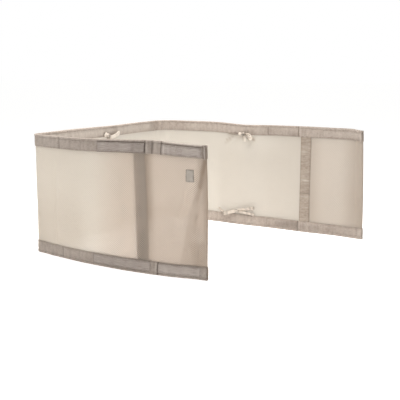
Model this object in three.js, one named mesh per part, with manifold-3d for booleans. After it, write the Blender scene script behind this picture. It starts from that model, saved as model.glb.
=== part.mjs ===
// A breathable playpen bumper: one long strip of spacer mesh, bound with cloth along its top and bottom
// edges, standing on its lower edge in a U of three sides. Ribbon ties sit at the bindings' edges,
// hook-and-loop tapes and a cloth band are sewn near each free end, and a blank cloth label near one of them.
// Millimetres, +Z up. The origin is the centre of the footprint at floor height. The near side runs along -X,
// the short side goes back along +Y, and the far side returns along +X.
import * as THREE from "three";
import { mergeVertices } from "three/addons/utils/BufferGeometryUtils.js";
import Module from "manifold-3d";

// The strip
const HEIGHT = 300;
const HEM = 30;
const PANEL_THICK = 3;
const FIT_GAP = 0.3;

// The way the strip stands, seen from above: straight runs and round corners, from the near free end
const NEAR_END = { x: 232, y: -291 };
const START_HEADING = Math.PI;
const RUNS = [
  { name: "near side", run: 508, turn: 0 },
  { name: "near corner", run: 30, turn: -86 },
  { name: "short side", run: 538, turn: 0 },
  { name: "back corner", run: 82, turn: -94 },
  { name: "far side", run: 621, turn: 0 },
];
const LENGTH = RUNS.reduce((sum, { run }) => sum + run, 0);

// How the strip sways from those runs: how far out its foot, its middle and its top edge stand,
// and how much the top edge rises
const SWAY = [
  { at: 0, foot: 3, belly: 0, top: 0, rise: -1 },
  { at: 80, foot: 19, belly: 4, top: -3, rise: 0 },
  { at: 150, foot: 28, belly: -1, top: -7, rise: 2 },
  { at: 240, foot: 31, belly: 2, top: 2, rise: 0.5 },
  { at: 350, foot: 25, belly: 5, top: 12, rise: -1 },
  { at: 450, foot: 11, belly: 3, top: 8, rise: -0.5 },
  { at: 508, foot: 0, belly: 0, top: 0, rise: 0 },
  { at: 538, foot: 0, belly: 0, top: 0, rise: 0.5 },
  { at: 700, foot: 3, belly: -4, top: 2, rise: 1.5 },
  { at: 850, foot: -2, belly: 3, top: -3, rise: 1 },
  { at: 980, foot: 2, belly: -3, top: 2, rise: 2 },
  { at: 1076, foot: 0, belly: 0, top: 0, rise: 2 },
  { at: 1158, foot: 0, belly: 0, top: 0, rise: 2 },
  { at: 1300, foot: 2, belly: 4, top: 3, rise: 2.5 },
  { at: 1400, foot: -2, belly: 1, top: -3, rise: -1.5 },
  { at: 1490, foot: 1, belly: 4, top: 1, rise: 0 },
  { at: 1600, foot: -1, belly: 0, top: 3, rise: 0.5 },
  { at: 1690, foot: 2, belly: -7, top: 4, rise: 0 },
  { at: 1744, foot: -3, belly: -3, top: 2, rise: -0.5 },
  { at: 1779, foot: -5, belly: 0, top: 0, rise: -4 },
];

// Soft folds: each has its middle at a place along the strip and a height, leans that far along for each
// millimetre up, and stands out (or in, where negative) by its depth
const FOLDS = [
  { name: "slack trough by the near end", at: 36, z: 192, lean: -0.33, across: 13, along: 100, out: -5 },
  { name: "slack ridge beside it", at: 22, z: 150, lean: -0.25, across: 9, along: 70, out: 2.5 },
  { name: "near end's lower hollow", at: 26, z: 66, lean: 0, across: 15, along: 48, out: -3 },
  { name: "loose hem between the near tapes", at: 151, z: 288, lean: 0, across: 8, along: 34, out: -2.5 },
  { name: "packing crease", at: 437, z: 150, lean: 0, across: 7, along: 260, out: -2.2 },
  { name: "back corner's first tuck", at: 1102, z: 290, lean: 0.1, across: 7, along: 42, out: -2 },
  { name: "back corner's second tuck", at: 1130, z: 290, lean: -0.1, across: 7, along: 42, out: -2.2 },
  { name: "pull at the far tie", at: 1403, z: 278, lean: 0, across: 9, along: 40, out: -2.5 },
  { name: "crease left of the far tie", at: 1376, z: 258, lean: 1.1, across: 7, along: 34, out: -2 },
  { name: "tuck in the far foot", at: 1646, z: 14, lean: 0, across: 7, along: 30, out: -1.6 },
];

// The free ends: the top corners are drawn in, the edge bulges at mid height, and the mesh is turned double
const NEAR_DRAW = { skew: 5, bulge: 3 };
const FAR_DRAW = { skew: 9, bulge: 2 };
const END_FADE = 90;
const TURNED_WIDTH = 22;
const TURNED_RAMP = 4;
const TURNED_EXTRA = 1;

// Places along the strip where the surfaces get a row of points, as steps up to each place
const STEPS = [
  { to: 18, step: 9 },
  { to: 22, step: 4 },
  { to: 35, step: 6.5 },
  { to: 55, step: 6.7 },
  { to: 136, step: 20 },
  { to: 166, step: 7.5 },
  { to: 214, step: 8 },
  { to: 424, step: 42 },
  { to: 454, step: 7.5 },
  { to: 508, step: 27 },
  { to: 538, step: 5 },
  { to: 1076, step: 54 },
  { to: 1158, step: 8.2 },
  { to: 1370, step: 53 },
  { to: 1430, step: 7.5 },
  { to: 1600, step: 42.5 },
  { to: 1630, step: 15 },
  { to: 1662, step: 8 },
  { to: 1757, step: 24 },
  { to: 1761, step: 4 },
  { to: 1779, step: 9 },
];
const STATION_GAP = 3;
const PANEL_LEVELS = [44, 76, 110, 145, 180, 216, 244];

// Cloth bindings
const BINDING_WALL = 1.6;
const RIM = 4;
const RIM_PUFF = 0.6;
const RIM_HEIGHT = 6;
const STITCH_GROOVE = 0.5;
const EDGE_THINNING = 0.4;
const SLOT = PANEL_THICK / 2 + FIT_GAP;
const FACE = SLOT + BINDING_WALL;

// Cloth bands on the inner face, measured from each free end. The near one leans by so much along the strip
// for each millimetre up, and is at its place at the level given.
const BAND = { from: 162, to: 195, thick: 1.5 };
const NEAR_BAND_LEAN = { slope: 0.115, level: 176 };
const UPRIGHT = { slope: 0, level: 0 };

// Hook-and-loop tapes on the outer face of the bindings, measured from the free end that they sit by
const TAPE_THICK = 1.4;
const TAPE_EDGE = 2.5;
const TAPE_BEVEL = 0.5;
const TAPES = [
  { name: "tape_near_top_flap", end: "near", edge: "top", from: 12, to: 128 },
  { name: "tape_near_top_main", end: "near", edge: "top", from: 173, to: 303 },
  { name: "tape_near_foot_flap", end: "near", edge: "foot", from: 13, to: 121 },
  { name: "tape_near_foot_main", end: "near", edge: "foot", from: 138, to: 306 },
  { name: "tape_far_top_flap", end: "far", edge: "top", from: 13, to: 128 },
  { name: "tape_far_top_main", end: "far", edge: "top", from: 200, to: 303 },
  { name: "tape_far_foot_flap", end: "far", edge: "foot", from: 13, to: 128 },
  { name: "tape_far_foot_main", end: "far", edge: "foot", from: 200, to: 303 },
];

// Blank label on the outer face by the near end
const LABEL = { from: 35, to: 55, low: 216, high: 244, thick: 1.2 };

// Ribbon ties, each a bow with its knot at a binding's edge. A loop or tail leaves the knot at its aim, in
// degrees from the strip's own direction, and turns by its droop along its reach.
const RIBBON = { width: 10, thick: 0.9 };
const KNOT = { wide: 12, high: 11, deep: 8, sides: 10, rows: 7 };
const LOOP = { gap: 3.2, bulge: 1.2, lift: 2.5, steps: 10 };
const TAIL = { apart: 1.2, lift: 1, steps: 6 };
const BOWS = [
  {
    name: "bow_far_top",
    at: 1403,
    z: 272,
    loops: [{ reach: 20, aim: 170, droop: 14 }, { reach: 36, aim: 8, droop: -44 }],
    tails: [{ reach: 26, aim: -84, droop: -6 }, { reach: 36, aim: -26, droop: -28 }],
  },
  {
    name: "bow_far_foot",
    at: 1380,
    z: 41,
    loops: [{ reach: 50, aim: 184, droop: 18 }, { reach: 64, aim: 24, droop: -16 }],
    tails: [{ reach: 62, aim: 2, droop: -8 }, { reach: 68, aim: 170, droop: 16 }],
  },
  {
    name: "bow_side_top",
    at: 823,
    z: 274,
    loops: [{ reach: 20, aim: 160, droop: 20 }, { reach: 46, aim: -24, droop: 22 }],
    tails: [{ reach: 32, aim: -88, droop: 10 }, { reach: 40, aim: -50, droop: 8 }],
  },
  {
    name: "bow_side_foot",
    at: 823,
    z: 41,
    loops: [{ reach: 46, aim: 178, droop: 12 }, { reach: 50, aim: 8, droop: -16 }],
    tails: [{ reach: 52, aim: 26, droop: -22 }, { reach: 50, aim: 160, droop: 30 }],
  },
];

// Cloth colours, and how matt the cloth and the ribbons are
const CLOTH_ROUGHNESS = 0.9;
const RIBBON_ROUGHNESS = 0.7;
const CREAM = 0xe2d8c6;
const TAUPE = 0xb3a598;
const TAPE_TAUPE = 0xaa9c90;
const RIBBON_CREAM = 0xefe4d2;
const LABEL_GREY = 0xb0a79e;

const { clamp, degToRad, lerp, smoothstep } = THREE.MathUtils;

// The strip's middle line on the floor, and its heading, at a place along it
function planAt(s) {
  let { x, y } = NEAR_END;
  let heading = START_HEADING;
  let left = s;
  for (const { run, turn } of RUNS) {
    const step = Math.min(left, run);
    const bend = degToRad(turn) / run;
    if (turn === 0) {
      x += step * Math.cos(heading);
      y += step * Math.sin(heading);
    } else {
      x += (Math.sin(heading + bend * step) - Math.sin(heading)) / bend;
      y -= (Math.cos(heading + bend * step) - Math.cos(heading)) / bend;
    }
    heading += bend * step;
    left -= step;
  }
  return { x: x + left * Math.cos(heading), y: y + left * Math.sin(heading), heading };
}

// A smooth value between the rows of a table that are sorted by their place along the strip
function between(rows, key, s) {
  const found = rows.findIndex(({ at }) => at > s);
  const high = found < 0 ? rows.length - 1 : Math.max(found, 1);
  const slope = (low, up) => (up[key] - low[key]) / (up.at - low.at);
  const [a, b] = [rows[high - 1], rows[high]];
  const span = b.at - a.at;
  const t = clamp((s - a.at) / span, 0, 1);
  const leave = high > 1 ? slope(rows[high - 2], b) * span : 0;
  const arrive = high < rows.length - 1 ? slope(a, rows[high + 1]) * span : 0;
  return (
    a[key] * (1 + 2 * t) * (1 - t) ** 2 +
    b[key] * t * t * (3 - 2 * t) +
    leave * t * (1 - t) ** 2 -
    arrive * t * t * (1 - t)
  );
}

// How far the cloth stands out from its run at a place and height
function swayAt(s, z) {
  const up = z / HEIGHT;
  let out = lerp(between(SWAY, "foot", s), between(SWAY, "top", s), up);
  out += between(SWAY, "belly", s) * Math.sin(Math.PI * up);
  for (const fold of FOLDS) {
    const aside = (s - fold.at - fold.lean * (z - fold.z)) / fold.across;
    const taper = smoothstep(1 - Math.abs(z - fold.z) / fold.along, 0, 1);
    out += fold.out * Math.exp(-aside * aside) * taper;
  }
  return out;
}

// Extra half thickness where the mesh is turned double at the free ends
function turnedAt(s) {
  const inside = TURNED_WIDTH - Math.min(s, LENGTH - s);
  return TURNED_EXTRA * clamp(inside / TURNED_RAMP, 0, 1);
}

// The point at a place along the strip, a height, and a distance out from the cloth's middle
function place(s, z, out = 0) {
  const up = z / HEIGHT;
  const drawn = ({ skew, bulge }) => skew * up - bulge * Math.sin(Math.PI * up);
  const near = drawn(NEAR_DRAW) * clamp(1 - s / END_FADE, 0, 1);
  const far = drawn(FAR_DRAW) * clamp(1 - (LENGTH - s) / END_FADE, 0, 1);
  const { x, y, heading } = planAt(s + near - far);
  const aside = swayAt(s, z) + out + Math.sign(out) * turnedAt(s);
  return new THREE.Vector3(
    x - Math.sin(heading) * aside,
    y + Math.cos(heading) * aside,
    z * (1 + between(SWAY, "rise", s) / HEIGHT),
  );
}

// Where a tape starts and stops along the strip
function tapeSpan({ end, from, to }) {
  return end === "near" ? [from, to] : [LENGTH - to, LENGTH - from];
}

// Every sewn piece's ends, where all the pieces have a row of points, so that their facets agree
const SEWN_ENDS = [
  ...TAPES.flatMap(tapeSpan),
  ...[BAND.from, BAND.to, LENGTH - BAND.to, LENGTH - BAND.from],
  ...[LABEL.from, LABEL.to],
];

// Rows of points along the strip from one place to another
function stations(from, to) {
  const all = [0];
  for (const { to: end, step } of STEPS) {
    const start = all[all.length - 1];
    const count = Math.round((end - start) / step);
    for (let i = 1; i <= count; i++) all.push(lerp(start, end, i / count));
  }
  const clear = (s) => SEWN_ENDS.every((end) => Math.abs(end - s) > STATION_GAP);
  const merged = [...new Set([...all.filter(clear), ...SEWN_ENDS])].sort((a, b) => a - b);
  return [from, ...merged.filter((s) => s > from && s < to), to];
}

// Closed solid through rings of points with the same count, its ends filled in the plane that flat gives.
// Each cell's diagonal starts at its lower corner, so that neighbours' facets run side by side.
function skin(rings, flat) {
  const count = rings[0].length;
  const points = rings.flat();
  const faces = [];
  for (let r = 0; r + 1 < rings.length; r++)
    for (let i = 0; i < count; i++) {
      const [a, b] = [r * count + i, r * count + ((i + 1) % count)];
      if (points[b].z > points[a].z) faces.push(a, b, b + count, a, b + count, a + count);
      else faces.push(a, b, a + count, b, b + count, a + count);
    }
  const last = (rings.length - 1) * count;
  for (const [a, b, c] of THREE.ShapeUtils.triangulateShape(flat, []))
    faces.push(a, c, b, last + a, last + b, last + c);
  const geometry = new THREE.BufferGeometry().setFromPoints(points);
  geometry.setIndex(faces);
  return geometry;
}

const group = new THREE.Group();

function addPiece(name, geometry, color, roughness = CLOTH_ROUGHNESS) {
  const material = new THREE.MeshStandardMaterial({ color, roughness, metalness: 0 });
  const mesh = new THREE.Mesh(geometry, material);
  mesh.name = name;
  geometry.computeVertexNormals();
  group.add(mesh);
}

// A piece that follows the strip: its section is a ring of heights and distances out
function addAlong(name, from, to, section, color, { slope, level } = UPRIGHT) {
  const flat = section.map(([z, out]) => new THREE.Vector2(out, z));
  if (THREE.ShapeUtils.area(flat) < 0) {
    flat.reverse();
    section.reverse();
  }
  const rings = stations(from, to).map((s) =>
    section.map(([z, out]) => place(s + slope * (z - level), z, out)),
  );
  addPiece(name, skin(rings, flat), color);
}

// The mesh strip, its long edges held inside the bindings
function addPanel() {
  const half = PANEL_THICK / 2;
  const low = RIM + FIT_GAP;
  const edge = [low, HEM / 2, HEM];
  const levels = [...edge, ...PANEL_LEVELS, ...edge.map((z) => HEIGHT - z).reverse()];
  const section = [...levels.map((z) => [z, half]), ...levels.reverse().map((z) => [z, -half])];
  addAlong("mesh_panel", 0, LENGTH, section, CREAM);
}

// A binding: a strip of cloth folded over the mesh's edge, with a puffed rim above its stitching
function addBinding(name, atHeight) {
  const puff = FACE + RIM_PUFF;
  const outside = [
    [HEM, FACE - EDGE_THINNING],
    [HEM / 2, FACE],
    [RIM_HEIGHT, FACE - STITCH_GROOVE],
    [RIM / 2, puff],
    [0, SLOT],
  ];
  const slot = [
    [RIM, SLOT],
    [HEM / 2, SLOT],
    [HEM, SLOT],
  ];
  const mirrored = (ring) => ring.map(([z, out]) => [z, -out]).reverse();
  const ring = [...outside, ...mirrored(outside), ...mirrored(slot), ...slot];
  addAlong(name, 0, LENGTH, ring.map(([z, out]) => [atHeight(z), out]), TAUPE);
}

// A tape sewn flat on a binding's face
function addTape(tape) {
  const [low, high] = [RIM_HEIGHT + 1, HEM - TAPE_EDGE];
  const [near, far] = [FACE + FIT_GAP, FACE + FIT_GAP + TAPE_THICK];
  const middle = HEM / 2;
  const ring = [
    [low, near],
    [middle, near],
    [high, near],
    [high, far - TAPE_BEVEL],
    [middle, far],
    [low, far - TAPE_BEVEL],
  ];
  const height = (z) => (tape.edge === "top" ? HEIGHT - z : z);
  const [start, stop] = tapeSpan(tape);
  addAlong(tape.name, start, stop, ring.map(([z, out]) => [height(z), out]), TAPE_TAUPE);
}

// A cloth band sewn upright on the inner face
function addBand(name, start, stop, lean) {
  const levels = [HEM + FIT_GAP, ...PANEL_LEVELS, HEIGHT - HEM - FIT_GAP];
  const near = -(PANEL_THICK / 2 + FIT_GAP);
  const section = [
    ...levels.map((z) => [z, near]),
    ...levels.reverse().map((z) => [z, near - BAND.thick]),
  ];
  addAlong(name, start, stop, section, TAUPE, lean);
}

function addLabel() {
  const near = PANEL_THICK / 2 + FIT_GAP;
  const levels = [LABEL.low, LABEL.high];
  const section = [
    ...levels.map((z) => [z, near + LABEL.thick]),
    ...levels.reverse().map((z) => [z, near]),
  ];
  addAlong("label", LABEL.from, LABEL.to, section, LABEL_GREY);
}

const wasm = await Module();
wasm.setup();

function toManifold(geometry) {
  const bare = geometry.clone();
  for (const name of ["normal", "uv"]) bare.deleteAttribute(name);
  const merged = mergeVertices(bare, 1e-4);
  return new wasm.Manifold(
    new wasm.Mesh({
      numProp: 3,
      vertProperties: merged.attributes.position.array,
      triVerts: new Uint32Array(merged.index.array),
    }),
  );
}

function toGeometry(manifold) {
  const { numProp, vertProperties, triVerts } = manifold.getMesh();
  const count = vertProperties.length / numProp;
  const position = new Float32Array(count * 3);
  for (let i = 0; i < count; i++)
    position.set(vertProperties.subarray(i * numProp, i * numProp + 3), i * 3);
  const geometry = new THREE.BufferGeometry();
  geometry.setAttribute("position", new THREE.BufferAttribute(position, 3));
  return geometry.setIndex(new THREE.BufferAttribute(triVerts, 1));
}

// A flat ribbon through stops, each with a point and the direction of the ribbon's width
function ribbon(stops) {
  const rings = stops.map(({ point, width }, i) => {
    const before = stops[Math.max(i - 1, 0)].point;
    const after = stops[Math.min(i + 1, stops.length - 1)].point;
    const ahead = after.clone().sub(before).normalize();
    const normal = ahead.cross(width).normalize();
    const corner = (w, t) =>
      point
        .clone()
        .addScaledVector(width, (w * RIBBON.width) / 2)
        .addScaledVector(normal, (t * RIBBON.thick) / 2);
    return [corner(-1, 1), corner(1, 1), corner(1, -1), corner(-1, -1)];
  });
  const flat = [
    [0, 0],
    [1, 0],
    [1, 1],
    [0, 1],
  ].map(([x, y]) => new THREE.Vector2(x, y));
  const made = toManifold(skin(rings, flat));
  return made.volume() > 0 ? made : toManifold(skin(rings.reverse(), flat));
}

// A bow: its knot lies on the inner face, with the strip's direction across, up, and in as its axes
function addBow({ name, at, z, loops, tails }) {
  const onBinding = z < HEM || z > HEIGHT - HEM;
  const back = (onBinding ? FACE - EDGE_THINNING : PANEL_THICK / 2) + FIT_GAP;
  const knotOut = -(back + KNOT.deep / 2);
  const { heading } = planAt(at);
  const across = new THREE.Vector3(Math.cos(heading), Math.sin(heading), 0);
  const up = new THREE.Vector3(0, 0, 1);
  const inward = new THREE.Vector3(Math.sin(heading), -Math.cos(heading), 0);
  const centre = place(at, z, knotOut);

  // A stop on a loop or tail: how far along its reach, and how far in from the knot's middle
  const stopAt = ({ reach, aim, droop }, along, inBy) => {
    const turn = degToRad(aim + droop * along);
    const half = degToRad(aim + (droop * along) / 2);
    const point = centre
      .clone()
      .addScaledVector(across, reach * along * Math.cos(half))
      .addScaledVector(up, reach * along * Math.sin(half))
      .addScaledVector(inward, inBy);
    const width = across.clone().multiplyScalar(-Math.sin(turn)).addScaledVector(up, Math.cos(turn));
    return { point, width };
  };
  const knot = new THREE.SphereGeometry(0.5, KNOT.sides, KNOT.rows);
  knot.scale(KNOT.wide, KNOT.deep, KNOT.high);
  knot.rotateZ(heading);
  knot.translate(centre.x, centre.y, centre.z);
  let bow = toManifold(knot);
  for (const loop of loops) {
    const stops = [];
    for (let i = 0; i <= LOOP.steps; i++) {
      const q = i / LOOP.steps;
      const along = Math.sin(Math.PI * q);
      const inBy = (LOOP.gap / 2) * Math.cos(Math.PI * q) + LOOP.bulge * Math.sin(2 * Math.PI * q);
      stops.push(stopAt(loop, along, inBy + LOOP.lift * along));
    }
    bow = bow.add(ribbon(stops));
  }
  tails.forEach((tail, k) => {
    const stops = [];
    for (let i = 0; i <= TAIL.steps; i++) {
      const along = i / TAIL.steps;
      stops.push(stopAt(tail, along, (k - 0.5) * TAIL.apart + TAIL.lift * along));
    }
    bow = bow.add(ribbon(stops));
  });
  addPiece(name, toGeometry(bow), RIBBON_CREAM, RIBBON_ROUGHNESS);
}

addPanel();
addBinding("binding_top", (z) => HEIGHT - z);
addBinding("binding_foot", (z) => z);
addBand("band_near", BAND.from, BAND.to, NEAR_BAND_LEAN);
addBand("band_far", LENGTH - BAND.to, LENGTH - BAND.from, UPRIGHT);
TAPES.forEach(addTape);
addLabel();
BOWS.forEach(addBow);

export default group;
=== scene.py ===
"""Dresses the playpen bumper: a see-through spacer mesh strip in a U, with woven bindings, upright bands,
hook-and-loop tapes, a blank label, ribbon bows and their stitching.

Shapes are worked out in millimetres along the strip: s runs from the near free end, z is the height, and out
is the distance from the cloth's middle towards the outer face. place() turns them into metres in the part's
frame."""

import math

import bmesh
import bpy
import numpy as np
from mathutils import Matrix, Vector


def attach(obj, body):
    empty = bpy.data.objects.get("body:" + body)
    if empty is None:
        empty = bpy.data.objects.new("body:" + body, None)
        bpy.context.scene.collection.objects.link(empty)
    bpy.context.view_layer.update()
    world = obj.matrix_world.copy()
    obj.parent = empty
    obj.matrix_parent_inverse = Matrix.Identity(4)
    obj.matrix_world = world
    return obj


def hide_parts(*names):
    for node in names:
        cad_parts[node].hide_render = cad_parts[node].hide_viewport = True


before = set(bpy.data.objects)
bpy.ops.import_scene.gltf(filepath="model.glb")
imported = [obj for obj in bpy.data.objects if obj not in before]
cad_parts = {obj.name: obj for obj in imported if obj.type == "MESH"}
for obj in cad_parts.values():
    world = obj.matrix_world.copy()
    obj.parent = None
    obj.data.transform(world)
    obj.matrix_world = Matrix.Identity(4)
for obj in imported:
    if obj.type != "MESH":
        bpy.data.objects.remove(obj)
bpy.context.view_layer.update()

MM = 0.001

# -------- the strip's shape, as the solids have it
HEIGHT = 300.0
HEM = 30.0
NEAR_END = (232.0, -291.0)
# (length, turn in degrees) of each run, from the near free end
RUNS = [(508.0, 0.0), (30.0, -86.0), (538.0, 0.0), (82.0, -94.0), (621.0, 0.0)]
LENGTH = sum(run for run, _ in RUNS)
# Rows of place along, distance out at the foot, at half height and at the top, and how much higher the top is
AT, FOOT, BELLY, TOP, RISE = range(5)
SWAY = np.array([
    (0, 3, 0, 0, -1), (80, 19, 4, -3, 0), (150, 28, -1, -7, 2), (240, 31, 2, 2, 0.5), (350, 25, 5, 12, -1),
    (450, 11, 3, 8, -0.5), (508, 0, 0, 0, 0), (538, 0, 0, 0, 0.5), (700, 3, -4, 2, 1.5), (850, -2, 3, -3, 1),
    (980, 2, -3, 2, 2), (1076, 0, 0, 0, 2), (1158, 0, 0, 0, 2), (1300, 2, 4, 3, 2.5), (1400, -2, 1, -3, -1.5),
    (1490, 1, 4, 1, 0), (1600, -1, 0, 3, 0.5), (1690, 2, -7, 4, 0), (1744, -3, -3, 2, -0.5),
    (1779, -5, 0, 0, -4),
], dtype=float)
# Folds: place along, height, lean along per millimetre up, half width across, reach along, depth out
FOLDS = [
    (36, 192, -0.33, 13, 100, -5), (22, 150, -0.25, 9, 70, 2.5), (26, 66, 0, 15, 48, -3),
    (151, 288, 0, 8, 34, -2.5), (437, 150, 0, 7, 260, -2.2), (1102, 290, 0.1, 7, 42, -2),
    (1130, 290, -0.1, 7, 42, -2.2), (1403, 278, 0, 9, 40, -2.5), (1376, 258, 1.1, 7, 34, -2),
    (1646, 14, 0, 7, 30, -1.6),
]
# Finer wrinkles that the solids leave out, in the same terms
WRINKLES = [
    # cloth pulled together at the far top tie
    (1386, 262, 2.2, 6, 22, -1.5), (1372, 266, 3.2, 9, 16, 1.0), (1398, 252, 0.25, 4, 26, -1.3),
    (1410, 250, -0.35, 5, 26, 1.1), (1424, 256, -1.1, 6, 22, -1.1), (1352, 262, 2.6, 8, 12, -1.0),
    # the hem gathered at the same tie
    (1392, 284, 0.1, 3.5, 26, 0.8), (1415, 284, -0.1, 3.5, 26, 0.8),
    # loose hem between the near tapes
    (144, 286, 0, 4, 26, 1.1), (161, 286, 0, 4, 26, 1.2),
    # crease pressed in by folding, where the hems are stiff
    (425, 284, 0.05, 4, 34, -1.6), (414, 14, -0.05, 4, 30, -1.4), (437, 284, -0.05, 4, 34, 1.0),
    # back corner
    (1088, 284, 0.1, 5, 34, 1.0), (1116, 284, 0, 4, 34, 1.3), (1144, 284, -0.1, 5, 34, 1.0),
    (1104, 20, 0, 6, 34, -1.2), (1128, 20, 0, 6, 34, -1.2),
    # near corner
    (514, 284, 0, 4, 34, 0.8), (531, 284, 0, 4, 34, 0.8), (523, 16, 0, 4, 34, -0.8),
    # slack by the near end
    (52, 150, -0.3, 8, 80, -1.6), (12, 120, -0.1, 6, 70, -1.4), (46, 88, 0.15, 9, 46, 1.3),
]


def upright(*rows):
    """Lines straight across a hem, from rows of place along, distance from the rim, half width and tone."""
    return [(s, low, s, HEM, wide, tone) for s, low, wide, tone in rows]


# Lines of painted shade in creases and of painted light on lit places: where one starts, its height, where it
# ends, its height, half width, and how pale (above 0) or dark. The heights in hems are measured from the rim.
OUTER_TOP_TONES = upright(
    (173.5, 2, 1.7, -0.9), (168.4, 2, 1.4, 0.55), (163, 3, 3.0, -0.25), (144.5, 3, 3.5, 0.3),
    (137.5, 3, 2.0, -0.3), (127.8, 2, 1.8, -1.0), (120, 1, 3.2, 0.45), (111, 3, 2.0, -0.15),
    (106, 3, 2.4, 0.25), (99, 3, 2.4, -0.3), (92, 3, 2.6, 0.2), (7.2, 2, 2.0, -0.75), (3.6, 2, 1.0, 0.45),
    (0.2, 0, 1.8, -0.6), (434, 2, 2.6, 0.3), (509, 0, 3.0, -0.25),
)
OUTER_TOP_TONES += [
    (155, 2, 154.4, 30, 3.0, -0.6), (118, 1.0, 6, 1.0, 1.5, 0.6), (200, 16, 178, 16, 14.0, -0.42),
    (300, 16, 210, 16, 14.0, -0.14), (168, 16, 158, 16, 12.0, -0.2), (303.6, 5, 303.6, 29, 1.3, -0.5),
    (303, 5.4, 174, 5.4, 1.5, -0.8), (303, 29.0, 174, 29.0, 1.0, -0.7), (126, 5.0, 8, 5.0, 1.4, -0.7),
    (100, 29.0, 10, 29.0, 0.9, -0.35), (427, 0, 425, 30, 2.8, -0.55), (419, 2, 418, 30, 2.6, 0.2),
    (500, 15, 440, 15, 30.0, 0.2), (112, 15, 20, 15, 12.0, 0.22),
    # thread ends that show through the tape
    (86, 21, 80, 11, 1.1, -0.5), (81, 21, 75, 11, 1.1, -0.5), (76, 20, 70, 10, 1.1, -0.5),
    (70, 20, 64, 10, 1.1, -0.35),
]
OUTER_FOOT_TONES = upright(
    (305.2, 1, 1.4, -0.45), (301.5, 3, 1.4, 0.15), (124.6, 1, 1.8, 0.45), (105, 2, 3.0, 0.15),
    (15.6, 2, 1.2, -0.35), (11.6, 2, 1.2, 0.2), (0.5, 0, 2.6, -0.5), (409, 1, 2.4, 0.2),
)
OUTER_FOOT_TONES += [
    (119, 1, 118.6, 30, 1.9, -0.9), (200, 29.2, 8, 29.2, 0.9, -0.5), (305, 29.0, 200, 29.0, 0.9, -0.3),
    (300, 7.0, 140, 7.0, 0.9, -0.4), (415, 1, 414, 30, 2.4, -0.45), (100, 12, 10, 12, 16.0, 0.24),
    (300, 15, 150, 15, 14.0, -0.2),
]
INNER_TOP_TONES = upright(
    (1576.6, 2, 1.9, -0.75), (1583.8, 3, 1.4, 0.55), (1596, 3, 2.8, 0.3), (1604, 3, 2.0, -0.15),
    (1614, 3, 3.0, 0.22), (1633, 3, 2.0, -0.3), (1639, 3, 2.0, 0.35), (1655, 3, 2.4, 0.2),
    (1336, 2, 1.4, -0.35), (1767, 6, 1.3, -0.4), (1777.5, 0, 1.8, -0.7), (1773, 3, 1.4, 0.3),
    (1398, 19, 1.4, -0.7), (1120, 1, 2.4, 0.25),
)
INNER_TOP_TONES += [
    (1484, 21, 1574, 21, 6.0, -0.22), (1480, 5, 1480, 28, 1.7, -0.75), (1482, 8.5, 1574, 8.5, 3.0, 0.4),
    (1480, 28.5, 1576, 28.5, 1.0, -0.5), (1586, 4.0, 1766, 4.0, 1.2, 0.35),
    (1586, 29.0, 1766, 29.0, 1.2, -0.5), (1590, 7.6, 1766, 7.6, 0.9, -0.4), (560, 15, 1040, 15, 14.0, 0.42),
    (1200, 15, 1460, 15, 14.0, 0.24), (1590, 15, 1760, 15, 10.0, 0.24), (1594, 16, 1640, 16, 11.0, -0.36),
    (1350, 26.5, 1364, 27.5, 1.6, -0.5), (1364, 27.5, 1392, 26.5, 1.5, -1.0),
    (1376, 21, 1392, 22, 1.6, -0.45), (1406, 24, 1412, 30, 1.6, -0.8), (1416, 18, 1412, 26, 1.8, -0.5),
    (1434, 16, 1428, 27, 2.2, -0.3), (1106, 1, 1104, 30, 2.4, -0.35), (1133, 1, 1131, 30, 2.4, -0.35),
]
INNER_FOOT_TONES = upright(
    (1580.2, 1, 1.8, -0.8), (1586.5, 1, 1.4, 0.4), (1479, 3, 1.5, -0.35), (1299, 2, 1.4, -0.3),
    (1612, 2, 2.5, 0.2), (1640, 2, 2.5, -0.25), (1652, 2, 2.5, 0.2),
)
INNER_FOOT_TONES += [
    (1479, 7.0, 1578, 7.0, 0.9, -0.3), (1479, 28.8, 1578, 28.8, 0.9, -0.35), (1512, 16, 1572, 16, 14.0, -0.5),
    (1590, 15, 1645, 15, 12.0, -0.36), (1600, 15, 1760, 15, 14.0, -0.2), (1590, 29.0, 1766, 29.0, 1.0, -0.4),
    (1200, 15, 1300, 15, 14.0, 0.15),
]
HEM_LINES = OUTER_TOP_TONES + OUTER_FOOT_TONES + INNER_TOP_TONES + INNER_FOOT_TONES
# The narrow ones need points close together across them
NARROW_LINE = 3.5
ACROSS = (-1.6, -0.7, 0.0, 0.7, 1.6)
CREASED = [s + aside * wide for s, _, _, _, wide, _ in HEM_LINES if wide < NARROW_LINE for aside in ACROSS]
# Painted light and shade on the far band's pressed and gathered places, as height, half width and tone
BAND_TONES = [
    (262, 3.0, 0.2), (240, 3.0, 0.4), (227, 3.5, 0.32), (214, 5.0, -0.22), (190, 5.0, -0.16),
    (148, 3.0, 0.55), (140, 2.2, 0.36), (112, 4.0, -0.3), (102, 4.5, 0.4), (90, 4.0, -0.25), (76, 4.5, 0.22),
    (40, 8.0, -0.12),
]
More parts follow.
